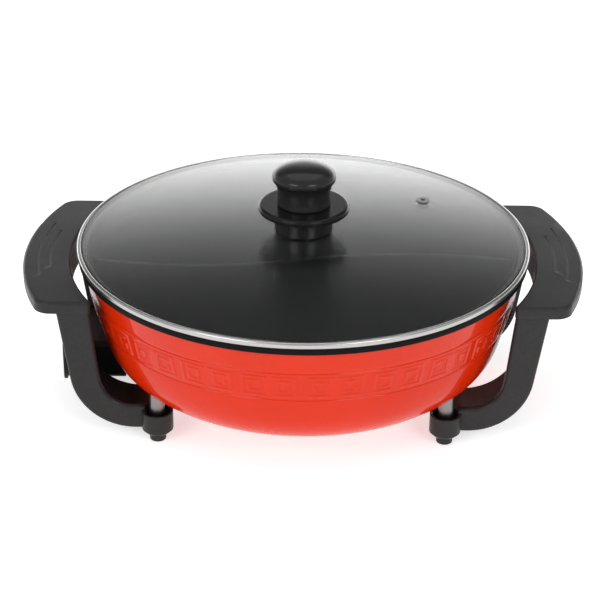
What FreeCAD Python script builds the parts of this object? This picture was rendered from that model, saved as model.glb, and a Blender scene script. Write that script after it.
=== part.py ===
import FreeCAD, Part
import math
import os

# Divided electric hot pot: a round pan with an S-shaped divider, a glass lid with a knob,
# and two handle frames whose legs carry the pan on four posts.
# Millimetres. Origin at the bottom centre, +Z up, X from handle to handle, Y front to rear.
# The socket for the mains plug is on the -X side.

V = FreeCAD.Vector
UP = V(0, 0, 1)

# --- feet, bosses and posts -------------------------------------------------------------
foot_radius = 5.4
foot_height = 5.0
foot_edge = 0.8
boss_radius = 10.4
boss_top_z = 21.3
boss_taper = 3.5
cup_radius = 8.6
cup_floor_z = 10.5
post_radius = 5.1
post_inset = 5.0            # post axis inside the edge of the pan's flat floor, along X
screw_head_radius = 3.3
screw_head_height = 2.6
screw_radius = 2.0
screw_depth = 12.0          # how far a leg screw goes up into its post
screw_head_room = 0.3
screw_hole_room = 0.15

# --- pan --------------------------------------------------------------------------------
pan_floor_z = 21.0          # underside of the pan above the table
pan_depth = 86.3            # underside of the pan to the top of its rim
pan_rim_radius = 149.5      # outside of the wall just under the rim
pan_flare = 49.5            # rim radius less the radius of the flat floor
pan_corner_radius = 38.0
pan_wall = 3.5
rim_height = 4.7
rim_overhang = 2.3
rim_round = 1.0
band_top_drop = 21.0        # upper decorative groove, below the rim
band_height = 21.5
band_groove = 0.5
divider_thickness = 3.0
divider_drop = 13.3         # top of the divider below the rim
divider_bow = 10.5          # how far each half of the S bows from the centre line

# --- lid --------------------------------------------------------------------------------
lid_overhang = 0.7          # lid rim beyond the pan rim
lid_rim_height = 3.0
lid_rim_band = 2.8
lid_rim_sheet = 0.6
lid_lip_depth = 3.6
lid_lip_room = 0.5          # lip to the inside of the pan
glass_thickness = 3.0
glass_rise = 6.5
glass_room = 0.1
knob_hole_radius = 3.0
vent_reach = 100.7
vent_angle = 33.5
vent_flange_radius = 4.9
vent_tube_radius = 3.0
vent_hole_radius = 1.6
vent_flange = 0.8

# --- knob -------------------------------------------------------------------------------
collar_radius = 19.6
collar_height = 14.0
guard_radius = 30.6
guard_height = 4.6
grip_foot_radius = 17.6
grip_waist_radius = 16.6
grip_neck_radius = 18.2
grip_neck_height = 16.4
cap_radius = 21.4
cap_edge_height = 5.0
cap_height = 12.0
knob_screw_radius = 2.5
knob_screw_head_radius = 5.0
knob_screw_head_height = 3.2
knob_screw_reach = 31.0
washer_radius = 9.0
washer_thickness = 1.5

# --- handle frames ----------------------------------------------------------------------
handle_gap = 4.5            # lid rim to the handle's skirt
handle_width = 31.5
handle_half_depth = 82.0
handle_drop = 6.3           # handle top below the pan rim
handle_lip = 8.0            # height of the edge all round the handle
handle_skin = 3.5
handle_corner = 12.0
handle_inner_corner = 3.0
handle_edge = 2.2
skirt_height = 21.0
skirt_wall = 3.5
grip_groove_radius = 0.9
grip_groove_depth = 0.5
grip_grooves = ((10.5, 13.0), (18.5, 9.3))   # distance inside the outer edge, half angle

# --- legs -------------------------------------------------------------------------------
leg_setback = 1.5           # leg face behind the front edge of the handle
leg_wall = 4.0
leg_top_width = 21.5
leg_outer_slope = 8.2       # degrees from upright
leg_inner_slope = 5.5
leg_bottom_z = 7.5
leg_foot_height = 17.1
leg_outer_bend = 42.0
leg_inner_bend = 22.0
leg_flange_wall = 3.5
leg_edge = 2.5
arch_half_width = 28.0      # open arch between the front and rear legs
boss_lap = 6.0              # how far the flange stays short of the boss axis

# --- heater -----------------------------------------------------------------------------
spreader_inner = 52.0
spreader_outer = 88.0
spreader_height = 3.5
element_radius = 70.0
element_tube = 3.25
element_bed = 1.25          # how deep the tube lies in its groove
element_bend = 12.0
tail_spread = 12.0          # each tail beside the centre line
tail_rise_start = 10.0      # start of the rise, outside the flat floor
tail_bend = 10.0
tail_slope = 40.0
stud_reach = 80.0
stud_radius = 2.5
stud_room = 0.15
stud_end = 1.5
nut_across_flats = 8.0
nut_height = 4.0

# --- socket -----------------------------------------------------------------------------
socket_reach = 4.0          # mouth of the shroud beyond the skirt's inner face
socket_half_width = 27.0
socket_bottom_z = 15.0
socket_top_z = 43.0
socket_floor = 2.0
socket_wall = 3.0
socket_inner_reach = 21.0   # inner end of the shroud, outside the flat floor
socket_pan_gap = 1.0
socket_corner = 4.0
mouth_flange = 2.0
mouth_flange_lap = 1.8
recess_depth = 21.0
recess_half_width = 20.0
recess_bottom_z = 18.5
recess_top_z = 39.0
recess_corner = 5.0
pin_z = 28.0
pin_radius = 2.3
pin_reach = 15.0            # pin beyond the partition, into the recess
pin_shoulder = 0.3          # the pin's shank is this much thinner, from the partition inwards
pin_room = 0.4              # shank in its hole in the shroud
bead_radius = 5.0
bead_length = 3.0
sleeve_z = 28.5
sleeve_radius = 4.0
sleeve_bore = 2.8
sleeve_reach = 5.0
sleeve_room = 0.2
bracket_sheet = 1.5
bracket_half_width = 7.0
bracket_step = 4.0
earth_half_width = 4.0
earth_sheet = 1.0
earth_reach = 16.0
earth_lap = 12.0
shroud_screw_offsets = (6.0, 15.0)   # inside the partition, along X
shroud_screw_radius = 1.5
shroud_screw_head = 3.0
shroud_screw_head_height = 1.5

# --- derived places ---------------------------------------------------------------------
floor_radius = pan_rim_radius - pan_flare
rim_z = pan_floor_z + pan_depth
rim_radius = pan_rim_radius + rim_overhang
lid_radius = rim_radius + lid_overhang
divider_top_z = rim_z - divider_drop
handle_inner = lid_radius + handle_gap
handle_outer = handle_inner + handle_width
handle_top_z = rim_z - handle_drop
handle_low_z = handle_top_z - handle_lip
handle_ceiling_z = handle_top_z - handle_skin
leg_face_y = handle_half_depth - leg_setback
leg_back_y = leg_face_y - leg_wall
post_x = floor_radius - post_inset
post_y = leg_face_y - 0.5
mouth_x = handle_inner + socket_reach
partition_x = mouth_x - recess_depth
shank_radius = pin_radius - pin_shoulder
spreader_z = pan_floor_z - spreader_height
element_z = spreader_z + element_bed - element_tube
CORNERS = (("front_left", -1, -1), ("front_right", 1, -1), ("rear_left", -1, 1), ("rear_right", 1, 1))


# --- small helpers ----------------------------------------------------------------------
def cylinder(radius, low, high, x=0.0, y=0.0):
    return Part.makeCylinder(radius, high - low, V(x, y, low))


def rod(radius, start, end, y, z):
    """A cylinder along X from start to end."""
    return Part.makeCylinder(radius, abs(end - start), V(min(start, end), y, z), V(1, 0, 0))


def block(x0, x1, y0, y1, z0, z1):
    return Part.makeBox(x1 - x0, y1 - y0, z1 - z0, V(x0, y0, z0))


def tube(outer, inner, low, high, x=0.0, y=0.0):
    return cylinder(outer, low, high, x, y).cut(cylinder(inner, low, high, x, y))


def segment(a, b):
    return Part.LineSegment(a, b).toShape()


def arc_between(centre, radius, start, end, plane):
    """An arc about centre from angle start to end, in degrees; plane maps (u, v) to a point."""
    def point(angle):
        turn = math.radians(angle)
        return plane(centre[0] + radius * math.cos(turn), centre[1] + radius * math.sin(turn))
    return Part.Arc(point(start), point((start + end) / 2.0), point(end)).toShape()


def upright(u, v):
    return V(u, 0, v)


def revolve(edges):
    """Revolve a closed outline in the XZ plane about the Z axis."""
    face = Part.Face(Part.Wire(edges))
    return Part.Solid(face.revolve(V(0, 0, 0), UP, 360.0))


def revolve_points(points):
    corners = [upright(r, z) for r, z in points]
    return revolve([segment(a, b) for a, b in zip(corners, corners[1:] + corners[:1])])


def loop_prism(edges, direction):
    return Part.Face(Part.Wire(edges)).extrude(direction)


def rounded_block(x0, x1, half_width, z0, z1, corner):
    """A block along X whose four long edges are rounded."""
    shape = block(x0, x1, -half_width, half_width, z0, z1)
    long_edges = [e for e in shape.Edges if abs(e.tangentAt(e.FirstParameter).x) > 0.99]
    return shape.makeFillet(corner, long_edges)


def flat_edges(shape, axis, value):
    """The edges of a shape that lie wholly in the plane where an axis has a value."""
    box_low = {"x": "XMin", "y": "YMin", "z": "ZMin"}[axis]
    box_high = {"x": "XMax", "y": "YMax", "z": "ZMax"}[axis]
    found = []
    for edge in shape.Edges:
        low = getattr(edge.BoundBox, box_low)
        high = getattr(edge.BoundBox, box_high)
        if abs(low - value) < 0.01 and abs(high - value) < 0.01:
            found.append(edge)
    return found


def mirror_x(shape):
    return shape.mirror(V(0, 0, 0), V(1, 0, 0))


def mirror_y(shape):
    return shape.mirror(V(0, 0, 0), V(0, 1, 0))


# --- pan --------------------------------------------------------------------------------
def wall_tangent(offset):
    """Where the corner arc of a wall, offset outwards, meets its straight flare, and its angle."""
    radius = pan_corner_radius + offset
    centre = (floor_radius, pan_floor_z + pan_corner_radius)
    run = pan_rim_radius - centre[0]
    rise = rim_z - rim_height - centre[1]
    angle = math.atan2(rise, run) - math.acos(pan_corner_radius / math.hypot(run, rise))
    touch = (centre[0] + radius * math.cos(angle), centre[1] + radius * math.sin(angle))
    return touch, angle


def wall_radius(z, offset=0.0):
    """Radius at a height of the pan's outside, or of a surface offset outwards from it."""
    (touch_r, touch_z), angle = wall_tangent(offset)
    if z >= touch_z:
        return touch_r - (z - touch_z) * math.tan(angle)
    radius = pan_corner_radius + offset
    drop = pan_floor_z + pan_corner_radius - z
    return floor_radius + math.sqrt(radius ** 2 - drop ** 2)


def wall_line(offset, top_z):
    """Floor, corner arc and flare of the pan's outside, offset outwards, up to a height."""
    (touch_r, touch_z), angle = wall_tangent(offset)
    centre = (floor_radius, pan_floor_z + pan_corner_radius)
    radius = pan_corner_radius + offset
    floor_z = pan_floor_z - offset
    return [segment(upright(0, floor_z), upright(floor_radius, floor_z)),
            arc_between(centre, radius, -90.0, math.degrees(angle), upright),
            segment(upright(touch_r, touch_z), upright(wall_radius(top_z, offset), top_z))]


def bowl(offset, top_z):
    """The solid inside a surface offset from the pan's outside, up to a height."""
    return revolve(wall_line(offset, top_z)
                   + [segment(upright(wall_radius(top_z, offset), top_z), upright(0, top_z)),
                      segment(upright(0, top_z), upright(0, pan_floor_z - offset))])


def pan():
    low = rim_z - rim_height
    rim = tube(rim_radius, wall_radius(rim_z) - 1.0, low, rim_z)
    rim = rim.makeFillet(rim_round, [e for e in rim.Edges if e.BoundBox.XMax > rim_radius - 0.1
                                     and e.BoundBox.ZLength < 0.01])
    shell = bowl(0.0, rim_z).fuse(rim).cut(bowl(-pan_wall, rim_z))
    for drop in (band_top_drop, band_top_drop + band_height):
        z = rim_z - drop
        shell = shell.cut(Part.makeTorus(wall_radius(z), band_groove, V(0, 0, z)))
    return shell.removeSplitter()


def pan_divider():
    """An upright plate on an S of two equal arcs, trimmed to the inside of the pan."""
    half_chord = rim_radius / 2.0
    radius = (half_chord ** 2 + divider_bow ** 2) / (2.0 * divider_bow)
    shapes = []
    for side in (-1, 1):
        centre = V(side * half_chord, side * (divider_bow - radius), pan_floor_z)
        height = divider_top_z - pan_floor_z
        ring = Part.makeCylinder(radius + divider_thickness / 2.0, height, centre)
        ring = ring.cut(Part.makeCylinder(radius - divider_thickness / 2.0, height, centre))
        x0, x1 = sorted((0.0, side * rim_radius))
        y0, y1 = sorted((-side * divider_thickness, side * (divider_bow + divider_thickness)))
        shapes.append(ring.common(block(x0, x1, y0, y1, pan_floor_z, divider_top_z)))
    return shapes[0].fuse(shapes[1]).common(bowl(-pan_wall, divider_top_z)).removeSplitter()


# --- heater -----------------------------------------------------------------------------
def element_edges():
    """The centre line of the element: tail, bend, ring, bend, tail."""
    bend_y = tail_spread + element_bend
    bend_x = -math.sqrt((element_radius + element_bend) ** 2 - bend_y ** 2)
    ring_angle = math.degrees(math.atan2(bend_y, bend_x))
    flat = lambda u, v: V(u, v, element_z)
    ring = arc_between((0, 0), element_radius, ring_angle, -ring_angle, flat)
    bend = arc_between((bend_x, bend_y), element_bend, -90.0, ring_angle - 180.0, flat)
    start = -(floor_radius + tail_rise_start)
    slope = math.radians(tail_slope)
    lift = tail_bend * (1.0 - math.cos(slope))
    shift = tail_bend * math.sin(slope)
    run = (pin_z - element_z - 2.0 * lift) / math.tan(slope)
    tail_plane = lambda u, v: V(u, tail_spread, v)
    first = (start, element_z + tail_bend)
    second = (start - 2.0 * shift - run, pin_z - tail_bend)
    low_bend = arc_between(first, tail_bend, -90.0, -90.0 - tail_slope, tail_plane)
    high_bend = arc_between(second, tail_bend, 90.0 - tail_slope, 90.0, tail_plane)
    level = segment(V(bend_x, tail_spread, element_z), V(start, tail_spread, element_z))
    climb = segment(V(start - shift, tail_spread, element_z + lift),
                    V(start - shift - run, tail_spread, pin_z - lift))
    end = segment(V(second[0], tail_spread, pin_z), V(-tail_end_x(), tail_spread, pin_z))
    half = [bend, level, low_bend, climb, high_bend, end]
    return [ring] + half + [mirror_y(edge) for edge in half]


def tail_end_x():
    return partition_x - socket_wall - bead_length


def swept(edge, radius):
    """A round bar whose centre line is a straight edge or an arc."""
    start = edge.valueAt(edge.FirstParameter)
    circle = Part.makeCircle(radius, start, edge.tangentAt(edge.FirstParameter))
    disc = Part.Face(Part.Wire(circle))
    if isinstance(edge.Curve, Part.Circle):
        turn = math.degrees(edge.LastParameter - edge.FirstParameter)
        return disc.revolve(edge.Curve.Center, edge.Curve.Axis, turn)
    return disc.extrude(edge.valueAt(edge.LastParameter) - start)


def heating_element():
    bars = [swept(edge, element_tube) for edge in element_edges()]
    return bars[0].multiFuse(bars[1:]).removeSplitter()


def heat_spreader():
    plate = tube(spreader_outer, spreader_inner, spreader_z, pan_floor_z)
    groove = Part.makeTorus(element_radius, element_tube, V(0, 0, element_z))
    bed = block(-spreader_outer - 1.0, -element_radius, -tail_spread - element_bend * 1.5,
                tail_spread + element_bend * 1.5, spreader_z, spreader_z + element_bed + 0.1)
    plate = plate.cut(groove).cut(bed)
    for x, y in stud_places():
        plate = plate.cut(cylinder(stud_radius + stud_room, spreader_z, pan_floor_z, x, y))
    return plate


def stud_places():
    angles = [math.radians(a) for a in (0.0, 120.0, 240.0)]
    return [(stud_reach * math.cos(a), stud_reach * math.sin(a)) for a in angles]


def spreader_studs():
    low = spreader_z - nut_height - stud_end
    return Part.makeCompound([cylinder(stud_radius, low, pan_floor_z, x, y) for x, y in stud_places()])


def spreader_nuts():
    nuts = []
    corner = nut_across_flats / math.sqrt(3.0)
    low = spreader_z - nut_height
    for x, y in stud_places():
        points = [V(x + corner * math.cos(math.radians(60 * i)),
                    y + corner * math.sin(math.radians(60 * i)), low) for i in range(6)]
        hexagon = [segment(a, b) for a, b in zip(points, points[1:] + points[:1])]
        nut = loop_prism(hexagon, V(0, 0, nut_height))
        nuts.append(nut.cut(cylinder(stud_radius, low, spreader_z, x, y)))
    return Part.makeCompound(nuts)


# --- socket -----------------------------------------------------------------------------
def terminal_pin(side):
    tip = -(partition_x + pin_reach)
    blade = rod(pin_radius, tip, -(partition_x + pin_shoulder), side * tail_spread, pin_z)
    blade = blade.makeFillet(pin_radius * 0.6, flat_edges(blade, "x", tip))
    return blade.fuse(rod(shank_radius, tip + pin_reach, -tail_end_x(), side * tail_spread, pin_z))


def pin_insulators():
    beads = []
    outer = -(partition_x - socket_wall)
    for side in (-1, 1):
        bead = rod(bead_radius, outer, -tail_end_x(), side * tail_spread, pin_z)
        beads.append(bead.cut(rod(shank_radius, outer, -tail_end_x(), side * tail_spread, pin_z)))
    return Part.makeCompound(beads)


def probe_sleeve():
    outer = -(partition_x + sleeve_reach)
    inner = -(wall_radius(sleeve_z) - sleeve_radius)
    sleeve = rod(sleeve_radius, outer, inner, 0.0, sleeve_z).cut(bowl(0.0, rim_z))
    bore_end = -(wall_radius(sleeve_z) + 1.0)
    return sleeve.cut(rod(sleeve_bore, outer, bore_end, 0.0, sleeve_z))


def bracket_outline(end_x):
    """The side view of the bracket, from the pan's floor out onto the shroud's floor."""
    pad_x = floor_radius + 2.0
    seat_z = socket_bottom_z + socket_floor
    top = [(-spreader_outer, pan_floor_z), (-pad_x, pan_floor_z),
           (-(pad_x + bracket_step), seat_z + bracket_sheet), (-end_x, seat_z + bracket_sheet)]
    low = [(-end_x, seat_z), (-(pad_x + bracket_step), seat_z),
           (-pad_x, pan_floor_z - bracket_sheet), (-spreader_outer, pan_floor_z - bracket_sheet)]
    return [upright(x, z) for x, z in top + low]


def socket_bracket():
    end_x = partition_x - socket_wall
    points = [p + V(0, -bracket_half_width, 0) for p in bracket_outline(end_x)]
    edges = [segment(a, b) for a, b in zip(points, points[1:] + points[:1])]
    plate = loop_prism(edges, V(0, 2.0 * bracket_half_width, 0))
    for x in shroud_screw_places():
        plate = plate.cut(cylinder(shroud_screw_radius, socket_bottom_z, pan_floor_z, x))
    return plate


def earth_strip(room):
    """The earth contact through the partition, or with room the slot that it passes."""
    low = socket_bottom_z + socket_floor + bracket_sheet
    return block(-(partition_x + earth_reach), -(partition_x - socket_wall - earth_lap),
                 -earth_half_width - room, earth_half_width + room, low, low + earth_sheet + room)


def shroud_screw_places():
    return [-(partition_x - socket_wall - offset) for offset in shroud_screw_offsets]


def shroud_screws():
    top = socket_bottom_z + socket_floor + bracket_sheet
    screws = []
    for x in shroud_screw_places():
        shank = cylinder(shroud_screw_radius, socket_bottom_z, top, x)
        head = cylinder(shroud_screw_head, socket_bottom_z - shroud_screw_head_height, socket_bottom_z, x)
        screws.append(shank.fuse(head).removeSplitter())
    return Part.makeCompound(screws)


def socket_shroud():
    inner_x = -(floor_radius + socket_inner_reach)
    body = rounded_block(-mouth_x, inner_x, socket_half_width, socket_bottom_z, socket_top_z, socket_corner)
    mouth = rounded_block(-mouth_x - mouth_flange, -mouth_x, socket_half_width + mouth_flange_lap,
                          socket_bottom_z - mouth_flange_lap, socket_top_z + mouth_flange_lap,
                          socket_corner + mouth_flange_lap)
    recess = rounded_block(-mouth_x - mouth_flange, -partition_x, recess_half_width,
                           recess_bottom_z, recess_top_z, recess_corner)
    hollow = block(-(partition_x - socket_wall), inner_x, -socket_half_width + socket_wall,
                   socket_half_width - socket_wall, socket_bottom_z + socket_floor,
                   socket_top_z - socket_wall)
    shape = body.fuse(mouth).cut(recess).cut(hollow).cut(bowl(socket_pan_gap, rim_z))
    for side in (-1, 1):
        shape = shape.cut(rod(shank_radius + pin_room, -partition_x, -(partition_x - socket_wall),
                              side * tail_spread, pin_z))
    shape = shape.cut(rod(sleeve_radius + sleeve_room, -partition_x, -(partition_x - socket_wall),
                          0.0, sleeve_z))
    shape = shape.cut(earth_strip(0.1))
    for x in shroud_screw_places():
        shape = shape.cut(cylinder(shroud_screw_radius + stud_room, socket_bottom_z,
                                   socket_bottom_z + socket_floor, x))
    return shape.removeSplitter()


# --- handle frames ----------------------------------------------------------------------
def leg_corner(outer):
    """Tangent points and arc of one side of a leg: (top, arc centre, radius, arc angle, foot)."""
    slope = math.radians(leg_outer_slope if outer else leg_inner_slope)
    inner_top = chord_x(handle_inner, leg_back_y)
    top_x = inner_top + (leg_top_width if outer else 0.0)
    level = leg_bottom_z + (0.0 if outer else leg_foot_height)
    radius = leg_outer_bend if outer else leg_inner_bend
    corner_x = top_x - (handle_low_z - level) * math.tan(slope)
    reach = radius * math.tan((math.pi / 2.0 - slope) / 2.0)
    centre = (corner_x - reach, level + radius)
    return top_x, slope, level, radius, centre


def leg_side(outer, inset, end_x):
    """Points and edges of one side of a leg, moved inwards by inset, from its top to its foot."""
    top_x, slope, level, radius, centre = leg_corner(outer)
    level += inset
    radius -= inset
    touch = V(centre[0] + radius * math.cos(slope), 0, centre[1] - radius * math.sin(slope))
    rise = handle_ceiling_z - touch.z
    top = V(touch.x + rise * math.tan(slope), 0, handle_ceiling_z)
    bend = arc_between(centre, radius, -math.degrees(slope), -90.0, upright)
    low = V(centre[0], 0, level)
    end = V(end_x, 0, level)
    return top, end, [segment(top, touch), bend, segment(low, end)]


def leg():
    """A front leg of the +X frame: a face web with a deep flange along its outer side."""
    outer_top, outer_end, outer = leg_side(True, 0.0, post_x)
    inner_top, inner_end, inner = leg_side(False, 0.0, post_x)
    outline = outer + [segment(outer_end, inner_end)] + inner + [segment(inner_top, outer_top)]
    face = Part.Face(Part.Wire(Part.__sortEdges__(outline)))
    face.translate(V(0, -leg_face_y, 0))
    solid = face.extrude(V(0, leg_face_y - arch_half_width, 0))
    rim = [e for e in flat_edges(solid, "y", -leg_face_y)
           if e.BoundBox.XLength > 0.01 and e.BoundBox.ZMin < handle_ceiling_z - 0.01]
    solid = solid.makeFillet(leg_edge, rim)
    pocket_top, pocket_end, pocket = leg_side(True, leg_flange_wall, post_x)
    far_top = V(floor_radius - boss_radius, 0, handle_ceiling_z)
    far_low = V(far_top.x, 0, pocket_end.z)
    edges = pocket + [segment(pocket_end, far_low), segment(far_low, far_top), segment(far_top, pocket_top)]
    hollow = Part.Face(Part.Wire(Part.__sortEdges__(edges)))
    hollow.translate(V(0, -leg_back_y, 0))
    solid = solid.cut(hollow.extrude(V(0, leg_back_y - arch_half_width + 1.0, 0)))
    clear = block(0.0, post_x + boss_lap, -leg_back_y, 0.0, 0.0, handle_low_z)
    return solid.cut(clear)


def boss():
    """The cup at the end of a leg that holds a post, with its screw hole."""
    solid = cylinder(boss_radius, foot_height, boss_top_z, post_x, -post_y)
    return solid.makeChamfer(boss_taper, flat_edges(solid, "z", foot_height))


def boss_bore():
    """What is cut out of a boss: the cup, the screw hole and the room for its head."""
    shelf = foot_height + screw_head_height + screw_head_room
    bore = cylinder(cup_radius, cup_floor_z, handle_low_z, post_x, -post_y)
    bore = bore.fuse(cylinder(screw_radius + screw_hole_room, shelf, cup_floor_z, post_x, -post_y))
    return bore.fuse(cylinder(screw_head_radius + screw_head_room, 0.0, shelf, post_x, -post_y))


def upright_edges(solid, x, y):
    """The two upright edges of a solid at x and at plus and minus y."""
    return [e for e in solid.Edges if e.BoundBox.ZLength > 1.0 and e.BoundBox.XLength < 0.01
            and abs(e.BoundBox.XMin - x) < 0.01 and abs(abs(e.BoundBox.YMin) - y) < 0.01]


def crescent(outer, inner, half_depth, low, high):
    """The +X part of a ring, cut off square at plus and minus a half depth."""
    ring = tube(outer, inner, low, high)
    ring.rotate(V(0, 0, 0), UP, 180.0)
    return ring.common(block(0.0, outer + 1.0, -half_depth, half_depth, low, high))


def chord_x(radius, y):
    return math.sqrt(radius ** 2 - y ** 2)


def handle_plate():
    """The crescent grip with its lip, hollow below, and the skirt along its inner side."""
    depth = handle_half_depth
    solid = crescent(handle_outer, handle_inner, depth, handle_low_z, handle_top_z)
    solid = solid.makeFillet(handle_corner, upright_edges(solid, chord_x(handle_outer, depth), depth))
    solid = solid.makeFillet(handle_inner_corner, upright_edges(solid, chord_x(handle_inner, depth), depth))
    solid = solid.makeFillet(handle_edge, flat_edges(solid, "z", handle_top_z))
    depth -= handle_skin
    outer = handle_outer - handle_skin
    pocket = crescent(outer, handle_inner + skirt_wall, depth, handle_low_z, handle_ceiling_z)
    corners = upright_edges(pocket, chord_x(outer, depth), depth)
    pocket = pocket.makeFillet(handle_corner - handle_skin, corners)
    skirt = crescent(handle_inner + skirt_wall, handle_inner, leg_back_y,
                     handle_top_z - skirt_height, handle_low_z)
    return solid.cut(pocket).fuse(skirt)


def grip_groove(inset, half_angle):
    """An engraved arc with round ends in the top of the +X handle."""
    radius = handle_outer - inset
    z = handle_top_z + grip_groove_radius - grip_groove_depth
    turn = math.radians(half_angle)
    start = V(radius * math.cos(turn), -radius * math.sin(turn), z)
    path = Part.Wire(arc_between((0, 0), radius, -half_angle, half_angle, lambda u, v: V(u, v, z)))
    section = Part.Wire(Part.makeCircle(grip_groove_radius, start, V(math.sin(turn), math.cos(turn), 0)))
    groove = path.makePipeShell([section], True, False)
    for side in (-1, 1):
        end = V(start.x, -side * start.y, z)
        groove = groove.fuse(Part.makeSphere(grip_groove_radius, end))
    return groove


def handle_frame():
    front = leg().fuse(boss())
    rear = mirror_y(front)
    frame = handle_plate().fuse([front, rear])
    bores = boss_bore()
    frame = frame.cut([bores, mirror_y(bores)])
    for inset, half_angle in grip_grooves:
        frame = frame.cut(grip_groove(inset, half_angle))
    return frame.removeSplitter()


# --- posts, feet and their screws -------------------------------------------------------
def post(side_x, side_y):
    x, y = side_x * post_x, side_y * post_y
    solid = cylinder(post_radius, cup_floor_z, rim_z - rim_height, x, y).cut(bowl(0.0, rim_z))
    solid = min(solid.Solids, key=lambda s: s.BoundBox.ZMin)
    return solid.cut(cylinder(screw_radius, cup_floor_z, cup_floor_z + screw_depth, x, y))


def foot(side_x, side_y):
    solid = cylinder(foot_radius, 0.0, foot_height, side_x * post_x, side_y * post_y)
    return solid.makeFillet(foot_edge, flat_edges(solid, "z", 0.0))


def leg_screws():
    screws = []
    shelf = foot_height + screw_head_height + screw_head_room
    for corner, side_x, side_y in CORNERS:
        x, y = side_x * post_x, side_y * post_y
        head = cylinder(screw_head_radius, shelf - screw_head_height, shelf, x, y)
        shank = cylinder(screw_radius, shelf, cup_floor_z + screw_depth, x, y)
        screws.append(head.fuse(shank).removeSplitter())
    return Part.makeCompound(screws)


# --- lid --------------------------------------------------------------------------------
glass_radius = lid_radius - lid_rim_band - glass_room
glass_seat_z = rim_z + lid_rim_sheet
crown_z = glass_seat_z + glass_rise + glass_thickness


def dome(radius, low, crown):
    """A spherical cap of an edge radius, from the height of its edge to its crown."""
    rise = crown - low
    sphere = (radius ** 2 + rise ** 2) / (2.0 * rise)
    half = math.degrees(math.asin(radius / sphere))
    return arc_between((0, crown - sphere), sphere, 90.0 - half, 90.0, upright)


def lid_glass():
    low = glass_seat_z
    high = low + glass_thickness
    edges = [dome(glass_radius, low, crown_z - glass_thickness),
             segment(upright(0, crown_z - glass_thickness), upright(0, crown_z)),
             dome(glass_radius, high, crown_z),
             segment(upright(glass_radius, high), upright(glass_radius, low))]
    glass = revolve(Part.__sortEdges__(edges))
    glass = glass.cut(cylinder(knob_hole_radius, low, crown_z + 1.0))
    x, y = vent_place()
    return glass.cut(cylinder(vent_tube_radius + glass_room, low, crown_z + 1.0, x, y))


def vent_place():
    turn = math.radians(vent_angle)
    return vent_reach * math.cos(turn), vent_reach * math.sin(turn)


def glass_top_z(reach):
    rise = glass_rise
    sphere = (glass_radius ** 2 + rise ** 2) / (2.0 * rise)
    return crown_z - sphere + math.sqrt(sphere ** 2 - reach ** 2)


def lid_rim():
    top = rim_z + lid_rim_height
    lip_z = rim_z - lid_lip_depth
    lip = wall_radius(lip_z, -pan_wall) - lid_lip_room
    inside = lid_radius - lid_rim_band
    solid = revolve_points([(lip - lid_rim_sheet, lip_z), (lip, lip_z), (lip, rim_z), (lid_radius, rim_z),
                            (lid_radius, top), (inside, top), (inside, glass_seat_z),
                            (lip - lid_rim_sheet, glass_seat_z)])
    outer = [e for e in solid.Edges if e.BoundBox.XMax > lid_radius - 0.1 and e.BoundBox.ZLength < 0.01]
    return solid.makeFillet(lid_rim_height * 0.4, outer)


def vent_grommet():
    x, y = vent_place()
    high = glass_top_z(vent_reach - vent_flange_radius)
    low = glass_top_z(vent_reach + vent_flange_radius) - glass_thickness
    solid = cylinder(vent_tube_radius, low - vent_flange, high + vent_flange, x, y)
    for z in (high, low - vent_flange):
        solid = solid.fuse(cylinder(vent_flange_radius, z, z + vent_flange, x, y))
    return solid.cut(cylinder(vent_hole_radius, low - 1.0, high + 1.0, x, y)).removeSplitter()


def knob_collar():
    low = crown_z
    solid = tube(collar_radius, knob_screw_radius, low, low + collar_height)
    edges = [e for e in flat_edges(solid, "z", low) if e.BoundBox.XMax > collar_radius - 0.1]
    return solid.makeFillet(2.0, edges)


def knob_guard():
    low = crown_z + collar_height
    solid = tube(guard_radius, knob_screw_radius, low, low + guard_height)
    edges = [e for e in solid.Edges if e.BoundBox.XMax > guard_radius - 0.1 and e.BoundBox.ZLength < 0.01]
    return solid.makeFillet(guard_height * 0.4, edges)


def knob_grip():
    """The turned grip: foot ring, waisted neck and domed cap."""
    low = crown_z + collar_height + guard_height
    neck_top = low + grip_neck_height
    cap_low = neck_top
    cap_top = cap_low + cap_height
    waist_z = low + grip_neck_height * 0.3
    neck = Part.BSplineCurve()
    neck.interpolate([upright(grip_foot_radius, low + 2.0), upright(grip_waist_radius, waist_z),
                      upright(grip_neck_radius, neck_top)])
    edges = [segment(upright(0, low), upright(grip_foot_radius, low)),
             segment(upright(grip_foot_radius, low), upright(grip_foot_radius, low + 2.0)),
             neck.toShape(),
             segment(upright(grip_neck_radius, neck_top), upright(cap_radius - 1.5, cap_low)),
             Part.Arc(upright(cap_radius - 1.5, cap_low), upright(cap_radius, cap_low + 2.2),
                      upright(cap_radius - 0.4, cap_low + cap_edge_height)).toShape()]
    crown = cap_top - cap_low - cap_edge_height
    shoulder = cap_radius - 0.4
    sphere = (shoulder ** 2 + crown ** 2) / (2.0 * crown)
    half = math.degrees(math.asin(shoulder / sphere))
    edges.append(arc_between((0, cap_top - sphere), sphere, 90.0 - half, 90.0, upright))
    edges.append(segment(upright(0, cap_top), upright(0, low)))
    grip = revolve(Part.__sortEdges__(edges))
    return grip.cut(cylinder(knob_screw_radius, low, screw_top_z()))


def screw_top_z():
    return crown_z + knob_screw_reach


def knob_washer():
    low = glass_top_z(washer_radius) - glass_thickness - washer_thickness
    return tube(washer_radius, knob_screw_radius, low, low + washer_thickness)


def knob_screw():
    seat = glass_top_z(washer_radius) - glass_thickness - washer_thickness
    head = cylinder(knob_screw_head_radius, seat - knob_screw_head_height, seat)
    edges = flat_edges(head, "z", seat - knob_screw_head_height)
    head = head.makeFillet(knob_screw_head_height * 0.5, edges)
    return head.fuse(cylinder(knob_screw_radius, seat, screw_top_z())).removeSplitter()


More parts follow.
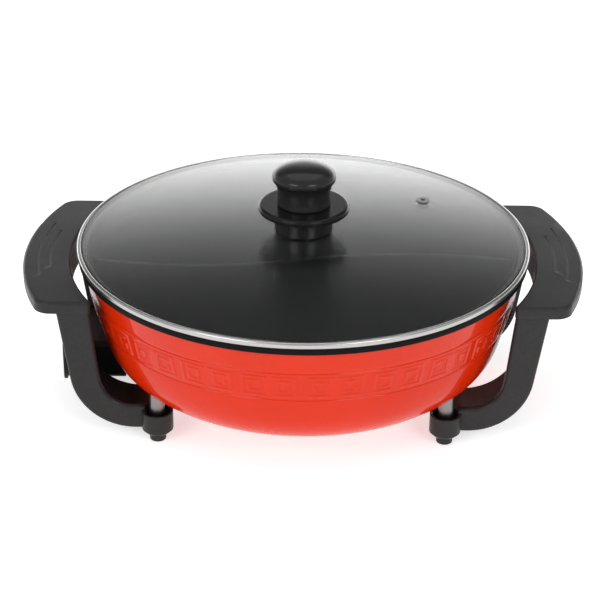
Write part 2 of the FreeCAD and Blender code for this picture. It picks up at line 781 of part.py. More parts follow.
# --- write one file per sub-part --------------------------------------------------------
right_frame = handle_frame()
pieces = {
    "pan": pan(),
    "pan_divider": pan_divider(),
    "heat_spreader": heat_spreader(),
    "heating_element": heating_element(),
    "spreader_studs": spreader_studs(),
    "spreader_nuts": spreader_nuts(),
    "terminal_pin_front": terminal_pin(-1),
    "terminal_pin_rear": terminal_pin(1),
    "pin_insulators": pin_insulators(),
    "probe_sleeve": probe_sleeve(),
    "earth_contact": earth_strip(0.0),
    "socket_bracket": socket_bracket(),
    "socket_shroud": socket_shroud(),
    "shroud_screws": shroud_screws(),
    "right_handle_frame": right_frame,
    "left_handle_frame": mirror_x(right_frame),
    "leg_screws": leg_screws(),
    "lid_glass": lid_glass(),
    "lid_rim": lid_rim(),
    "vent_grommet": vent_grommet(),
    "knob_collar": knob_collar(),
    "knob_guard": knob_guard(),
    "knob_grip": knob_grip(),
    "knob_washer": knob_washer(),
    "knob_screw": knob_screw(),
}
for place, side_x, side_y in CORNERS:
    pieces["post_" + place] = post(side_x, side_y)
    pieces["foot_" + place] = foot(side_x, side_y)

os.makedirs("parts", exist_ok=True)
for name, shape in pieces.items():
    if not shape.isValid():
        raise ValueError(name + " is not a valid shape")
    shape.exportStep("parts/" + name + ".step")
    box = shape.BoundBox
    print("%-20s solids %d volume %9.1f  x %.1f..%.1f y %.1f..%.1f z %.1f..%.1f" % (
        name, len(shape.Solids), shape.Volume, box.XMin, box.XMax, box.YMin, box.YMax, box.ZMin, box.ZMax))
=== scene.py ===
import math

import bmesh
import bpy
from mathutils import Matrix, Vector


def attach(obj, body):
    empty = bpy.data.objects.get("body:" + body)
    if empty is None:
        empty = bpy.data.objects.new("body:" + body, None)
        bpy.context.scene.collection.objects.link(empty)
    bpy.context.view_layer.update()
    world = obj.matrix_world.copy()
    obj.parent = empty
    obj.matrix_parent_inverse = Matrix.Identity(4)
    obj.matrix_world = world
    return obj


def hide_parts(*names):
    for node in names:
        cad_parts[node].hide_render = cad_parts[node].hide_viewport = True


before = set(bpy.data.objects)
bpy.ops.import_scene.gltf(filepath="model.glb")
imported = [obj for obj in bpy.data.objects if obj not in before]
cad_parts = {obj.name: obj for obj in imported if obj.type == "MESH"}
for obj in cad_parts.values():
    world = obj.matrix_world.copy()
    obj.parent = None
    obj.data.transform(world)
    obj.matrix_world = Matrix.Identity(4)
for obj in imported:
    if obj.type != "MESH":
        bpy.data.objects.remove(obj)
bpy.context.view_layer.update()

# Divided electric hot pot in the frame of the CAD: metres, +Z up, X from handle to handle.
# Sizes are in millimetres and are scaled on the way into a mesh. Names that end in _m or _M,
# and the places and sizes of the lamps, are in metres.

MM = 0.001
scene = bpy.context.scene


# --- node sockets as numbers ------------------------------------------------------------
def put(tree, slot, value):
    """Link a socket to an input, or set the input's own value."""
    if isinstance(value, Val):
        tree.links.new(value.socket, slot)
    else:
        slot.default_value = value


def socket_named(sockets, identifier):
    return next(s for s in sockets if s.identifier == identifier)


class Val:
    """An output socket of a shader or geometry tree that takes part in expressions."""

    def __init__(self, tree, socket):
        self.tree = tree
        self.socket = socket

    def math(self, operation, *others):
        node = self.tree.nodes.new("ShaderNodeMath")
        node.operation = operation
        for slot, value in zip(node.inputs, (self,) + others):
            put(self.tree, slot, value)
        return Val(self.tree, node.outputs[0])

    def flipped(self, operation, other):
        """The same operation with this socket as its second value."""
        node = self.tree.nodes.new("ShaderNodeMath")
        node.operation = operation
        put(self.tree, node.inputs[0], other)
        put(self.tree, node.inputs[1], self)
        return Val(self.tree, node.outputs[0])

    def __add__(self, other):
        return self.math("ADD", other)

    def __radd__(self, other):
        return self.flipped("ADD", other)

    def __sub__(self, other):
        return self.math("SUBTRACT", other)

    def __rsub__(self, other):
        return self.flipped("SUBTRACT", other)

    def __mul__(self, other):
        return self.math("MULTIPLY", other)

    def __rmul__(self, other):
        return self.flipped("MULTIPLY", other)

    def __truediv__(self, other):
        return self.math("DIVIDE", other)

    def __rtruediv__(self, other):
        return self.flipped("DIVIDE", other)

    def low(self, other):
        return self.math("MINIMUM", other)

    def high(self, other):
        return self.math("MAXIMUM", other)

    def clamp(self):
        return self.high(0.0).low(1.0)

    def ramp(self, start, end):
        """0 at start and before, 1 at end and after, straight between."""
        return ((self - start) / (end - start)).clamp()

    def mix(self, first, second):
        """From the first colour to the second as this goes from 0 to 1."""
        node = self.tree.nodes.new("ShaderNodeMix")
        node.data_type = "RGBA"
        put(self.tree, socket_named(node.inputs, "Factor_Float"), self)
        put(self.tree, socket_named(node.inputs, "A_Color"), first)
        put(self.tree, socket_named(node.inputs, "B_Color"), second)
        return Val(self.tree, socket_named(node.outputs, "Result_Color"))


class Tree:
    """A node tree with one method that makes any node."""

    def __init__(self, tree):
        self.tree = tree

    def node(self, kind, settings=None, inputs=None, output=0):
        made = self.tree.nodes.new(kind)
        for name, value in (settings or {}).items():
            setattr(made, name, value)
        for name, value in (inputs or {}).items():
            put(self.tree, made.inputs[name], value)
        return Val(self.tree, made.outputs[output])


class Look(Tree):
    """A material: a Principled shader and the few textures that vary it."""

    def __init__(self, name, **constants):
        self.material = bpy.data.materials.new(name)
        self.material.use_nodes = True
        super().__init__(self.material.node_tree)
        self.tree.nodes.clear()
        self.shader = self.tree.nodes.new("ShaderNodeBsdfPrincipled")
        output = self.tree.nodes.new("ShaderNodeOutputMaterial")
        self.tree.links.new(self.shader.outputs[0], output.inputs["Surface"])
        self.place = self.node("ShaderNodeTexCoord", output=3)
        for key, value in constants.items():
            label = key.replace("_", " ").title().replace("Ior", "IOR")
            self.shader.inputs[label].default_value = value

    def set(self, name, value):
        put(self.tree, self.shader.inputs[name], value)

    def axis(self, index):
        """X, Y or Z of the place on the object, for index 0, 1 or 2."""
        return self.node("ShaderNodeSeparateXYZ", inputs={"Vector": self.place}, output=index)

    def reach(self):
        """Distance from the vertical axis."""
        x, y = self.axis(0), self.axis(1)
        return (x * x + y * y).math("SQRT")

    def stretched(self, x, y, z):
        """Coordinates scaled along each axis, for a grain with a direction."""
        node = self.tree.nodes.new("ShaderNodeVectorMath")
        node.operation = "MULTIPLY"
        put(self.tree, node.inputs[0], self.place)
        node.inputs[1].default_value = (x, y, z)
        return Val(self.tree, node.outputs[0])

    def noise(self, scale, detail=3.0, where=None):
        return self.node("ShaderNodeTexNoise", {"noise_dimensions": "3D"},
                         {"Vector": where or self.place, "Scale": scale, "Detail": detail})

    def ring_grain(self, scale):
        """Noise that runs in rings round the vertical axis."""
        ring = self.node("ShaderNodeCombineXYZ", inputs={
            "X": self.reach(), "Y": self.axis(2), "Z": 0.0})
        return self.noise(scale, 4.0, ring)

    def cells(self, scale):
        return self.node("ShaderNodeTexVoronoi", {"feature": "F1"},
                         {"Vector": self.place, "Scale": scale})

    def bump(self, height, depth_mm, strength=1.0):
        """Relief of a depth in millimetres from a height between 0 and 1."""
        value = self.node("ShaderNodeBump", inputs={
            "Height": height, "Distance": depth_mm * MM, "Strength": strength})
        self.set("Normal", value)


def rgb(red, green, blue):
    return (red, green, blue, 1.0)


def grey(shade):
    return rgb(shade, shade, shade)


def mottled(first, second, share, dark, pale):
    """Two colours mixed by two noises, the first with its share, spread to full contrast."""
    return (first * share + second * (1.0 - share)).ramp(0.3, 0.7).mix(dark, pale)


# --- materials --------------------------------------------------------------------------
def enamel():
    """Fired red enamel under a thin gloss, with a slight orange-peel surface."""
    look = Look("red_enamel", coat_weight=0.48, coat_roughness=0.04, coat_ior=1.5, ior=1.08)
    cloud = look.noise(22.0, 4.0)
    speck = look.noise(1400.0, 2.0)
    look.set("Base Color", mottled(cloud, speck, 0.7, rgb(0.585, 0.020, 0.001),
                                   rgb(0.64, 0.026, 0.003)))
    look.set("Roughness", 0.22 + look.noise(60.0, 5.0) * 0.12)
    look.bump(look.noise(520.0, 2.0) * 0.7 + speck * 0.3, 0.02)
    return look.material


def non_stick(name, shade, rough, grain=900.0, ior=1.36):
    """Black non-stick coating: a fine grain with a few paler flecks."""
    look = Look(name, ior=ior)
    grains = look.noise(grain, 3.0)
    flecks = look.cells(grain * 0.35).ramp(0.14, 0.06)
    base = grains.ramp(0.35, 0.7).mix(grey(shade), grey(shade * 1.6))
    look.set("Base Color", (flecks * 0.12).mix(base, grey(0.05)))
    look.set("Roughness", rough + look.noise(35.0, 5.0) * 0.12)
    look.bump(grains, 0.003)
    return look.material


def moulded(name, shade, rough, grain, depth, wear=0.3, ior=1.38, gloss=0.0):
    """Moulded plastic: fine texture, slight mottling and polished patches."""
    look = Look(name, ior=ior, coat_weight=gloss, coat_roughness=0.12, coat_ior=1.45)
    fine = look.noise(grain, 4.0)
    cloud = look.noise(18.0, 4.0)
    look.set("Base Color", mottled(cloud, fine, 0.6, grey(shade * 0.8), grey(shade * 1.25)))
    look.set("Roughness", (rough + (look.noise(45.0, 5.0) - 0.5) * wear).clamp())
    look.bump(fine, depth)
    return look.material


def brushed(name, colour, rough, stretch, scale, depth=0.004):
    """Bare metal with a direction to its grain and slight staining."""
    look = Look(name, metallic=1.0)
    grain = look.noise(scale, 5.0, look.stretched(*stretch))
    cloud = look.noise(28.0, 4.0)
    stained = rgb(*[c * 0.88 for c in colour])
    look.set("Base Color", mottled(grain, cloud, 0.5, stained, rgb(*colour)))
    look.set("Roughness", (rough + (grain - 0.5) * 0.16).clamp())
    look.bump(grain, depth)
    return look.material


def grommet_steel():
    """The vent's pressed steel, with fine rings about the lid's axis."""
    look = Look("grommet_steel", metallic=1.0)
    grain = look.ring_grain(1500.0)
    look.set("Base Color", mottled(grain, look.noise(40.0, 3.0), 0.4, grey(0.27), grey(0.30)))
    look.set("Roughness", (0.34 + (grain - 0.5) * 0.1).clamp())
    look.bump(grain, 0.003)
    return look.material


def rim_steel():
    """The lid's band: fine rings, bright outside the glass, with painted shade darkening the lip under
    it.
    """
    look = Look("rim_steel", metallic=1.0)
    grain = look.ring_grain(900.0)
    bright = mottled(grain, look.noise(40.0, 3.0), 0.4, rgb(0.44, 0.435, 0.43),
                     rgb(0.50, 0.495, 0.49))
    # Painted shade: the same steel is made dark grey on the lip under the glass, inside the pan, and
    # bright on the band outside it.
    painted_shade_end_m, band_start_m = 0.1490, 0.1498
    look.set("Base Color", look.reach().ramp(painted_shade_end_m, band_start_m).mix(grey(0.12), bright))
    look.set("Roughness", (0.25 + (grain - 0.5) * 0.1).clamp())
    look.bump(grain, 0.003)
    return look.material


def clear_glass():
    """Clear lid glass with a thin dark ring round its edge that reflects less."""
    look = Look("tempered_glass", transmission_weight=1.0, ior=1.12, coat_ior=1.72,
                coat_roughness=0.22)
    haze = look.noise(9.0, 1.0)
    # The outermost ring of the glass is darkened and given less coat.
    glass_end_m, dark_ring_start_m = 0.1484, 0.1490
    seam = look.reach().ramp(glass_end_m, dark_ring_start_m)
    clear = haze.ramp(0.3, 0.7).mix(rgb(0.86, 0.88, 0.87), rgb(0.89, 0.91, 0.90))
    look.set("Base Color", seam.mix(clear, grey(0.05)))
    look.set("Coat Weight", 1.0 - seam * 0.7)
    look.set("Roughness", 0.003 + haze * 0.008)
    look.bump(haze, 0.01, 0.1)
    return look.material


def ceramic():
    """Unglazed bead ceramic."""
    look = Look("bead_ceramic", ior=1.55)
    grain = look.noise(900.0, 3.0)
    shade = grain.ramp(0.3, 0.7).mix(rgb(0.70, 0.67, 0.60), rgb(0.80, 0.78, 0.72))
    look.set("Base Color", shade)
    look.set("Roughness", 0.45 + grain * 0.2)
    look.bump(grain, 0.02)
    return look.material


def scaled_element():
    """Element sheath: dark oxide with a warm heat tint in patches."""
    look = Look("element_sheath", metallic=1.0)
    cloud = look.noise(30.0, 5.0)
    grain = look.noise(900.0, 3.0)
    heat_tint = cloud.ramp(0.35, 0.65).mix(rgb(0.10, 0.095, 0.09), rgb(0.24, 0.19, 0.14))
    look.set("Base Color", heat_tint)
    look.set("Roughness", 0.42 + grain * 0.25)
    look.bump(grain, 0.01)
    return look.material


RED = enamel()
COATING = non_stick("pan_coating", 0.016, 0.34, 900.0, 1.30)
EDGE_COATING = non_stick("pan_edge_coating", 0.006, 0.30, 900.0, 1.12)
DIVIDER = non_stick("divider_coating", 0.016, 0.26, 800.0)
HANDLE_RESIN = moulded("handle_resin", 0.028, 0.42, 650.0, 0.020, ior=1.14, gloss=0.22)
SOCKET_RESIN = moulded("socket_resin", 0.010, 0.42, 800.0, 0.035)
GRIP_RESIN = moulded("knob_resin", 0.013, 0.34, 500.0, 0.004, wear=0.08, ior=1.24, gloss=0.35)
GUARD_RESIN = moulded("guard_resin", 0.008, 0.24, 500.0, 0.006, wear=0.08, ior=1.18, gloss=0.20)
COLLAR_RESIN = moulded("collar_resin", 0.010, 0.24, 500.0, 0.008, wear=0.08, ior=1.30, gloss=0.45)
GLASS = clear_glass()
RIM_STEEL = rim_steel()
GROMMET = grommet_steel()
POST_STEEL = brushed("post_steel", (0.27, 0.26, 0.26), 0.32, (1.0, 1.0, 0.12), 900.0)
SCREW_STEEL = brushed("screw_zinc", (0.55, 0.55, 0.53), 0.30, (1.0, 1.0, 1.0), 900.0)
NUT_STEEL = brushed("nut_zinc", (0.52, 0.51, 0.47), 0.34, (1.0, 1.0, 0.3), 700.0)
BRACKET_STEEL = brushed("bracket_steel", (0.50, 0.50, 0.49), 0.36, (0.15, 1.0, 1.0), 600.0)
SPREADER = brushed("spreader_aluminium", (0.62, 0.62, 0.61), 0.42, (1.0, 1.0, 1.0), 260.0, 0.03)
SLEEVE = brushed("sleeve_aluminium", (0.66, 0.66, 0.65), 0.28, (0.1, 1.0, 1.0), 900.0)
PIN_METAL = brushed("pin_nickel", (0.66, 0.63, 0.56), 0.20, (0.15, 1.0, 1.0), 1200.0)
EARTH_METAL = brushed("earth_brass", (0.62, 0.50, 0.24), 0.26, (0.15, 1.0, 1.0), 1200.0)
ELEMENT = scaled_element()
BEAD = ceramic()
FOOT_RUBBER = moulded("foot_rubber", 0.018, 0.55, 900.0, 0.04)
WASHER = moulded("washer_silicone", 0.10, 0.5, 900.0, 0.02)


# --- outlines ---------------------------------------------------------------------------
NEARLY_STRAIGHT = math.radians(89.0)    # half angle past which a corner takes no fillet
LONGEST_CUT = 0.49                      # share of a side that one fillet may take


def rounded(corners, steps, hold):
    """An outline of (radius, height, fillet) corners with its fillets drawn as arcs, and a
    point, hold outside each arc, so that flat stretches stay flat when shaded."""
    points = []
    last = len(corners) - 1
    for i, corner in enumerate(corners):
        here = Vector(corner[:2])
        fillet = corner[2] if len(corner) > 2 else 0.0
        if fillet <= 0.0 or i in (0, last):
            points.append(tuple(here))
            continue
        back = Vector(corners[i - 1][:2]) - here
        on = Vector(corners[i + 1][:2]) - here
        reach_back, reach_on = back.length, on.length
        back.normalize()
        on.normalize()
        half = math.acos(max(-1.0, min(1.0, back.dot(on)))) / 2.0
        if half > NEARLY_STRAIGHT:
            points.append(tuple(here))
            continue
        cut = min(fillet / math.tan(half), reach_back * LONGEST_CUT, reach_on * LONGEST_CUT)
        radius = cut * math.tan(half)
        centre = here + (back + on).normalized() * (radius / math.sin(half))
        first = here + back * cut
        final = here + on * cut
        if reach_back - cut > 2.0 * hold:
            points.append(tuple(first + back * hold))
        a, b = first - centre, final - centre
        turn = a.angle_signed(b)
        for k in range(steps + 1):
            angle = -turn * k / steps
            c, s = math.cos(angle), math.sin(angle)
            points.append((centre.x + a.x * c - a.y * s, centre.y + a.x * s + a.y * c))
        if reach_on - cut > 2.0 * hold:
            points.append(tuple(final + on * hold))
    return points


def arc(centre_r, centre_z, radius, start, end, steps):
    """Points on an arc, from start to end in degrees."""
    out = []
    for k in range(steps + 1):
        a = math.radians(start + (end - start) * k / steps)
        out.append((centre_r + radius * math.cos(a), centre_z + radius * math.sin(a)))
    return out


def eased(points, steps=4):
    """A smooth line through points (Catmull-Rom)."""
    out = []
    for i in range(len(points) - 1):
        p0 = Vector(points[max(0, i - 1)])
        p1, p2 = Vector(points[i]), Vector(points[i + 1])
        p3 = Vector(points[min(len(points) - 1, i + 2)])
        for k in range(steps):
            t = k / steps
            out.append(tuple(0.5 * ((2 * p1) + (p2 - p0) * t + (2 * p0 - 5 * p1 + 4 * p2 - p3) * t * t
                                    + (3 * p1 - p0 - 3 * p2 + p3) * t ** 3)))
    out.append(tuple(points[-1]))
    return out


# --- geometry trees ---------------------------------------------------------------------
class Geo(Tree):
    """A geometry tree on an object, later turned into the object's own plain mesh."""

    def __init__(self, name, mesh=None):
        self.object = bpy.data.objects.new(name, mesh or bpy.data.meshes.new(name))
        scene.collection.objects.link(self.object)
        tree = bpy.data.node_groups.new(name + "_tree", "GeometryNodeTree")
        tree.interface.new_socket("Geometry", in_out="INPUT", socket_type="NodeSocketGeometry")
        tree.interface.new_socket("Geometry", in_out="OUTPUT", socket_type="NodeSocketGeometry")
        super().__init__(tree)
        self.start = Val(tree, tree.nodes.new("NodeGroupInput").outputs[0])
        self.end = tree.nodes.new("NodeGroupOutput")

    def joined(self, parts):
        node = self.tree.nodes.new("GeometryNodeJoinGeometry")
        for part in parts:
            self.tree.links.new(part.socket, node.inputs[0])
        return Val(self.tree, node.outputs[0])

    def combine(self, x, y, z):
        return self.node("ShaderNodeCombineXYZ", inputs={"X": x, "Y": y, "Z": z})

    def finish(self, geometry, smooth=True):
        """Bake the tree into the object's mesh and drop the modifier."""
        geometry = self.node("GeometryNodeRealizeInstances", inputs={"Geometry": geometry})
        self.tree.links.new(geometry.socket, self.end.inputs[0])
        modifier = self.object.modifiers.new("build", "NODES")
        modifier.node_group = self.tree
        bpy.context.view_layer.update()
        graph = bpy.context.evaluated_depsgraph_get()
        mesh = bpy.data.meshes.new_from_object(self.object.evaluated_get(graph))
        self.object.modifiers.clear()
        self.object.data = mesh
        mesh.name = self.object.name
        if smooth:
            mesh.shade_smooth()
        return self.object


def profile_mesh(name, outlines):
    """All outlines of a turned piece as points of one mesh, (radius, 0, height) in metres."""
    mesh = bpy.data.meshes.new(name + "_outline")
    points = [(r * MM, 0.0, z * MM) for outline in outlines for r, z in outline]
    mesh.from_pydata(points, [], [])
    return mesh


def turned(geo, first, count, columns, material, raise_by=None, about=(0.0, 0.0)):
    """A surface of revolution through count outline points from the first. raise_by takes the
    column and row as sockets and gives a height off the surface, with its direction (r, z)."""
    grid = geo.node("GeometryNodeMeshGrid", inputs={
        "Size X": 1.0, "Size Y": 1.0, "Vertices X": columns + 1, "Vertices Y": count})
    place = geo.node("GeometryNodeInputPosition")
    parts = geo.tree.nodes.new("ShaderNodeSeparateXYZ")
    geo.tree.links.new(place.socket, parts.inputs[0])
    column = ((Val(geo.tree, parts.outputs[0]) + 0.5) * columns).math("ROUND")
    row = ((Val(geo.tree, parts.outputs[1]) + 0.5) * (count - 1)).math("ROUND")
    sample = geo.tree.nodes.new("GeometryNodeSampleIndex")
    sample.data_type = "FLOAT_VECTOR"
    sample.domain = "POINT"
    geo.tree.links.new(geo.start.socket, sample.inputs["Geometry"])
    own = geo.tree.nodes.new("GeometryNodeInputPosition")
    geo.tree.links.new(own.outputs[0], sample.inputs["Value"])
    put(geo.tree, sample.inputs["Index"], row + first)
    split = geo.tree.nodes.new("ShaderNodeSeparateXYZ")
    geo.tree.links.new(sample.outputs[0], split.inputs[0])
    reach = Val(geo.tree, split.outputs[0])
    height = Val(geo.tree, split.outputs[2])
    if raise_by:
        lift, (out, up) = raise_by(column, row)
        reach = reach + lift * out
        height = height + lift * up
    angle = column.math("MODULO", float(columns)) * (2.0 * math.pi / columns)
    x = reach * angle.math("COSINE") + about[0] * MM
    y = reach * angle.math("SINE") + about[1] * MM
    moved = geo.node("GeometryNodeSetPosition", inputs={
        "Geometry": grid, "Position": geo.combine(x, y, height)})
    node = geo.tree.nodes.new("GeometryNodeSetMaterial")
    geo.tree.links.new(moved.socket, node.inputs["Geometry"])
    node.inputs["Material"].default_value = material
    return Val(geo.tree, node.outputs[0])


WELD = 0.002            # points nearer than this are one


def welded(geo, geometry):
    return geo.node("GeometryNodeMergeByDistance", inputs={
        "Geometry": geometry, "Distance": WELD * MM})


def lathe(name, outline, material, columns=128, about=(0.0, 0.0)):
    """A closed turned piece from one outline, bottom to top on its outside."""
    geo = Geo(name, profile_mesh(name, [outline]))
    return geo.finish(welded(geo, turned(geo, 0, len(outline), columns, material, None, about)))


def at_places(name, part, places, material):
    """Copies of a part's mesh at several places, as one mesh."""
    mesh = bpy.data.meshes.new(name + "_places")
    mesh.from_pydata([(x * MM, y * MM, z * MM) for x, y, z in places], [], [])
    geo = Geo(name, mesh)
    source = geo.tree.nodes.new("GeometryNodeObjectInfo")
    source.inputs["Object"].default_value = part
    source.inputs["As Instance"].default_value = True
    source.transform_space = "ORIGINAL"
    node = geo.tree.nodes.new("GeometryNodeInstanceOnPoints")
    geo.tree.links.new(geo.start.socket, node.inputs["Points"])
    geo.tree.links.new(source.outputs["Geometry"], node.inputs["Instance"])
    placed = Val(geo.tree, node.outputs[0])
    copies = geo.node("GeometryNodeRealizeInstances", inputs={"Geometry": placed})
    dressed = geo.tree.nodes.new("GeometryNodeSetMaterial")
    geo.tree.links.new(copies.socket, dressed.inputs["Geometry"])
    dressed.inputs["Material"].default_value = material
    made = geo.finish(Val(geo.tree, dressed.outputs[0]), smooth=False)
    bpy.data.objects.remove(part)
    return made


# --- whole pieces from meshes -----------------------------------------------------------
def settle(piece, angle=32.0):
    """Smooth shading that keeps flat faces flat, and edges sharper than an angle crisp."""
    mesh = piece.data
    mesh.shade_smooth()
    mesh.set_sharp_from_angle(angle=math.radians(angle))
    weighted = piece.modifiers.new("weighted", "WEIGHTED_NORMAL")
    weighted.keep_sharp = True
    weighted.mode = "FACE_AREA"
    weighted.weight = 80
    bpy.context.view_layer.update()
    graph = bpy.context.evaluated_depsgraph_get()
    made = bpy.data.meshes.new_from_object(piece.evaluated_get(graph))
    piece.modifiers.clear()
    piece.data = made
    made.name = piece.name
    return piece


def from_node(name, node, material):
    """A welded copy of a CAD node's mesh with clean shading."""
    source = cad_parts[node]
    mesh = bpy.data.meshes.new(name)
    soup = bmesh.new()
    soup.from_mesh(source.data)
    soup.transform(source.matrix_world)
    bmesh.ops.remove_doubles(soup, verts=soup.verts, dist=WELD * MM)
    bmesh.ops.dissolve_degenerate(soup, edges=soup.edges, dist=WELD / 4.0 * MM)
    bmesh.ops.recalc_face_normals(soup, faces=soup.faces)
    soup.to_mesh(mesh)
    soup.free()
    mesh.materials.clear()
    mesh.materials.append(material)
    piece = bpy.data.objects.new(name, mesh)
    scene.collection.objects.link(piece)
    for face in mesh.polygons:
        face.material_index = 0
    return settle(piece)


def carve(piece, cutters):
    """Cut other meshes out of a piece."""
    for cutter in cutters:
        modifier = piece.modifiers.new("cut", "BOOLEAN")
        modifier.operation = "DIFFERENCE"
        modifier.solver = "EXACT"
        modifier.object = cutter
        bpy.context.view_layer.update()
        graph = bpy.context.evaluated_depsgraph_get()
        made = bpy.data.meshes.new_from_object(piece.evaluated_get(graph))
        piece.modifiers.clear()
        piece.data = made
    for cutter in cutters:
        bpy.data.objects.remove(cutter)
    return piece


def wedge(half_x, half_y, low, high, taper):
    """A block whose lower end is smaller by the taper's share, to cut a screw's cross."""
    work = bmesh.new()
    levels = []
    for z, k in ((low, 1.0 - taper), (high, 1.0)):
        levels.append([work.verts.new((sx * half_x * k * MM, sy * half_y * k * MM, z * MM))
                       for sx, sy in ((-1, -1), (1, -1), (1, 1), (-1, 1))])
    work.faces.new(levels[0][::-1])
    work.faces.new(levels[1])
    for i in range(4):
        j = (i + 1) % 4
        work.faces.new((levels[0][i], levels[0][j], levels[1][j], levels[1][i]))
    mesh = bpy.data.meshes.new("wedge")
    work.to_mesh(mesh)
    work.free()
    block = bpy.data.objects.new("wedge", mesh)
    scene.collection.objects.link(block)
    return block


def give(piece, body, slot, *nodes):
    """Put a finished piece on its body in place of its CAD nodes."""
    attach(piece, body)
    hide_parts(*nodes)
    return piece


# --- the pan ----------------------------------------------------------------------------
FLOOR_R, FLOOR_Z = 100.0, 21.0          # flat of the underside, and its height
CORNER_R, WALL = 38.0, 3.5              # bend from floor to wall, and thickness
WALL_TOP_R = 149.5                      # outside of the wall under the rolled rim
RIM_R, RIM_Z, RIM_H = 151.8, 107.3, 4.7
BOWL_RING_Z = 88.0                      # a ring of points on the inside of the wall
BAND_TOP, BAND_LOW = RIM_Z - 21.0, RIM_Z - 42.5     # the two ring grooves
GROOVE_HALF, GROOVE_DEPTH, GROOVE_STEPS = 0.75, 0.5, 4
COARSE = 4                              # the fret's ring has this many times the columns


def flare_angle():
    """Lean of the wall from upright, where it leaves the bend as a tangent."""
    run = WALL_TOP_R - FLOOR_R
    rise = RIM_Z - RIM_H - (FLOOR_Z + CORNER_R)
    return math.atan2(rise, run) - math.acos(CORNER_R / math.hypot(run, rise))


FLARE = flare_angle()


def wall_r(z, offset=0.0):
    """Radius of the pan's outside at a height, or of a surface offset outwards from it."""
    radius = CORNER_R + offset
    touch_z = FLOOR_Z + CORNER_R + radius * math.sin(FLARE)
    if z >= touch_z:
        return FLOOR_R + radius * math.cos(FLARE) - (z - touch_z) * math.tan(FLARE)
    return FLOOR_R + math.sqrt(max(0.0, radius ** 2 - (FLOOR_Z + CORNER_R - z) ** 2))


def groove(z, into):
    """Half of a ring groove in the wall: from the wall down to the groove's bottom."""
    out = []
    for k in range(GROOVE_STEPS + 1):
        t = k / float(GROOVE_STEPS)
        drop = GROOVE_DEPTH * (0.5 - 0.5 * math.cos(math.pi * t))
        at = z + into * GROOVE_HALF * (1.0 - t)
        out.append((wall_r(at) - drop, at))
    return out


# Strokes of one hook of the fret in cells: left, right, low, high.
FRET = (
    (2, 20, 21, 22), (19, 20, 3, 22), (4, 20, 3, 4),
    (6, 15, 17, 18), (6, 7, 7, 18), (6, 15, 7, 8), (14, 15, 7, 12),
)
FRET_CELLS, FRET_UNITS, FRET_ROWS = 24, 44, 25      # cells to a hook, hooks, rows of cells
FRET_RELIEF = 0.55


def fret_height(column, row):
    """Height of the key fret, every second hook mirrored, and its direction off the wall."""
    unit = (column / float(FRET_CELLS)).math("FLOOR")
    odd = unit.math("MODULO", 2.0)
    u = column.math("MODULO", float(FRET_CELLS))
    u = u + odd * (FRET_CELLS - 2.0 * u)
    height = None
    for left, right, low, high in FRET:
        across = (u - (left - 1.0)).low((right + 1.0) - u)
        along = (row - (low - 1.0)).low((high + 1.0) - row)
        stroke = across.low(along).clamp()
        height = stroke if height is None else height.high(stroke)
    return height * (FRET_RELIEF * MM), (math.cos(FLARE), math.sin(FLARE))


def stitch(piece, share, reach_mm):
    """Close the seams between a fine ring and one with 1/share of its columns."""
    work = bmesh.new()
    work.from_mesh(piece.data)
    open_edges = [e for e in work.edges if e.is_boundary]
    longest = max(e.calc_length() for e in open_edges)
    coarse = [e for e in open_edges if e.calc_length() > longest * 0.6]
    bmesh.ops.subdivide_edges(work, edges=coarse, cuts=share - 1)
    rims = [v for v in work.verts if v.is_boundary]
    bmesh.ops.remove_doubles(work, verts=rims, dist=reach_mm * MM)
    work.to_mesh(piece.data)
    work.free()


def make_pan():
    """Five rings joined: low wall, band with the fret, high wall, rolled edge and bowl."""
    columns = FRET_CELLS * FRET_UNITS
    touch = math.degrees(FLARE)
    centre_z = FLOOR_Z + CORNER_R
    under = RIM_Z - RIM_H
    inside_r = wall_r(RIM_Z, -WALL)
    floor_top = FLOOR_Z + WALL

    low_wall = [(0.0, FLOOR_Z), (60.0, FLOOR_Z), (FLOOR_R - 0.5, FLOOR_Z)]
    low_wall += arc(FLOOR_R, centre_z, CORNER_R, -90.0, touch, 15)[1:]
    low_wall = [p for p in low_wall if p[1] < BAND_LOW - 2.0 * GROOVE_HALF]
    low_wall += groove(BAND_LOW, -1.0)

    band_start, band_end = BAND_LOW + GROOVE_HALF, BAND_TOP - GROOVE_HALF
    band = groove(BAND_LOW, 1.0)[::-1][:-1]
    for k in range(2 * FRET_ROWS + 1):
        z = band_start + (band_end - band_start) * k / (2.0 * FRET_ROWS)
        band.append((wall_r(z), z))
    band += groove(BAND_TOP, -1.0)[1:]

    high_wall = groove(BAND_TOP, 1.0)[::-1]
    high_wall += [(wall_r(z), z) for z in (BAND_TOP + 3.0, under - 0.6, under)]

    edge = rounded([(wall_r(under), under), (RIM_R, under, 1.0), (RIM_R, RIM_Z, 1.3),
                    (inside_r, RIM_Z, 1.0), (inside_r, RIM_Z - 2.0)], 4, 0.12)
    slope = (wall_r(BOWL_RING_Z, -WALL) - inside_r) / (BOWL_RING_Z - RIM_Z)
    edge[-1] = (inside_r - 2.0 * slope, RIM_Z - 2.0)

    bowl = [edge[-1], (wall_r(BOWL_RING_Z, -WALL), BOWL_RING_Z)]
    bowl += arc(FLOOR_R, centre_z, CORNER_R - WALL, touch, -90.0, 12)
    bowl += [(FLOOR_R - 0.5, floor_top), (70.0, floor_top), (0.0, floor_top)]

    outlines = [low_wall, band, high_wall, edge, bowl]
    geo = Geo("pan_shell", profile_mesh("pan_shell", outlines))
    first = 0
    parts = []
    for outline, material in zip(outlines, (RED, RED, RED, EDGE_COATING, COATING)):
        lift = None
        around = columns // COARSE
        if outline is band:
            lift = lambda column, row: fret_height(column, (row - float(GROOVE_STEPS)) * 0.5)
            around = columns
        parts.append(turned(geo, first, len(outline), around, material, lift))
        first += len(outline)
    shell = geo.finish(welded(geo, geo.joined(parts)))
    stitch(shell, COARSE, 0.02)
    return give(shell, "base", "enamel_pan", "pan")


make_pan()


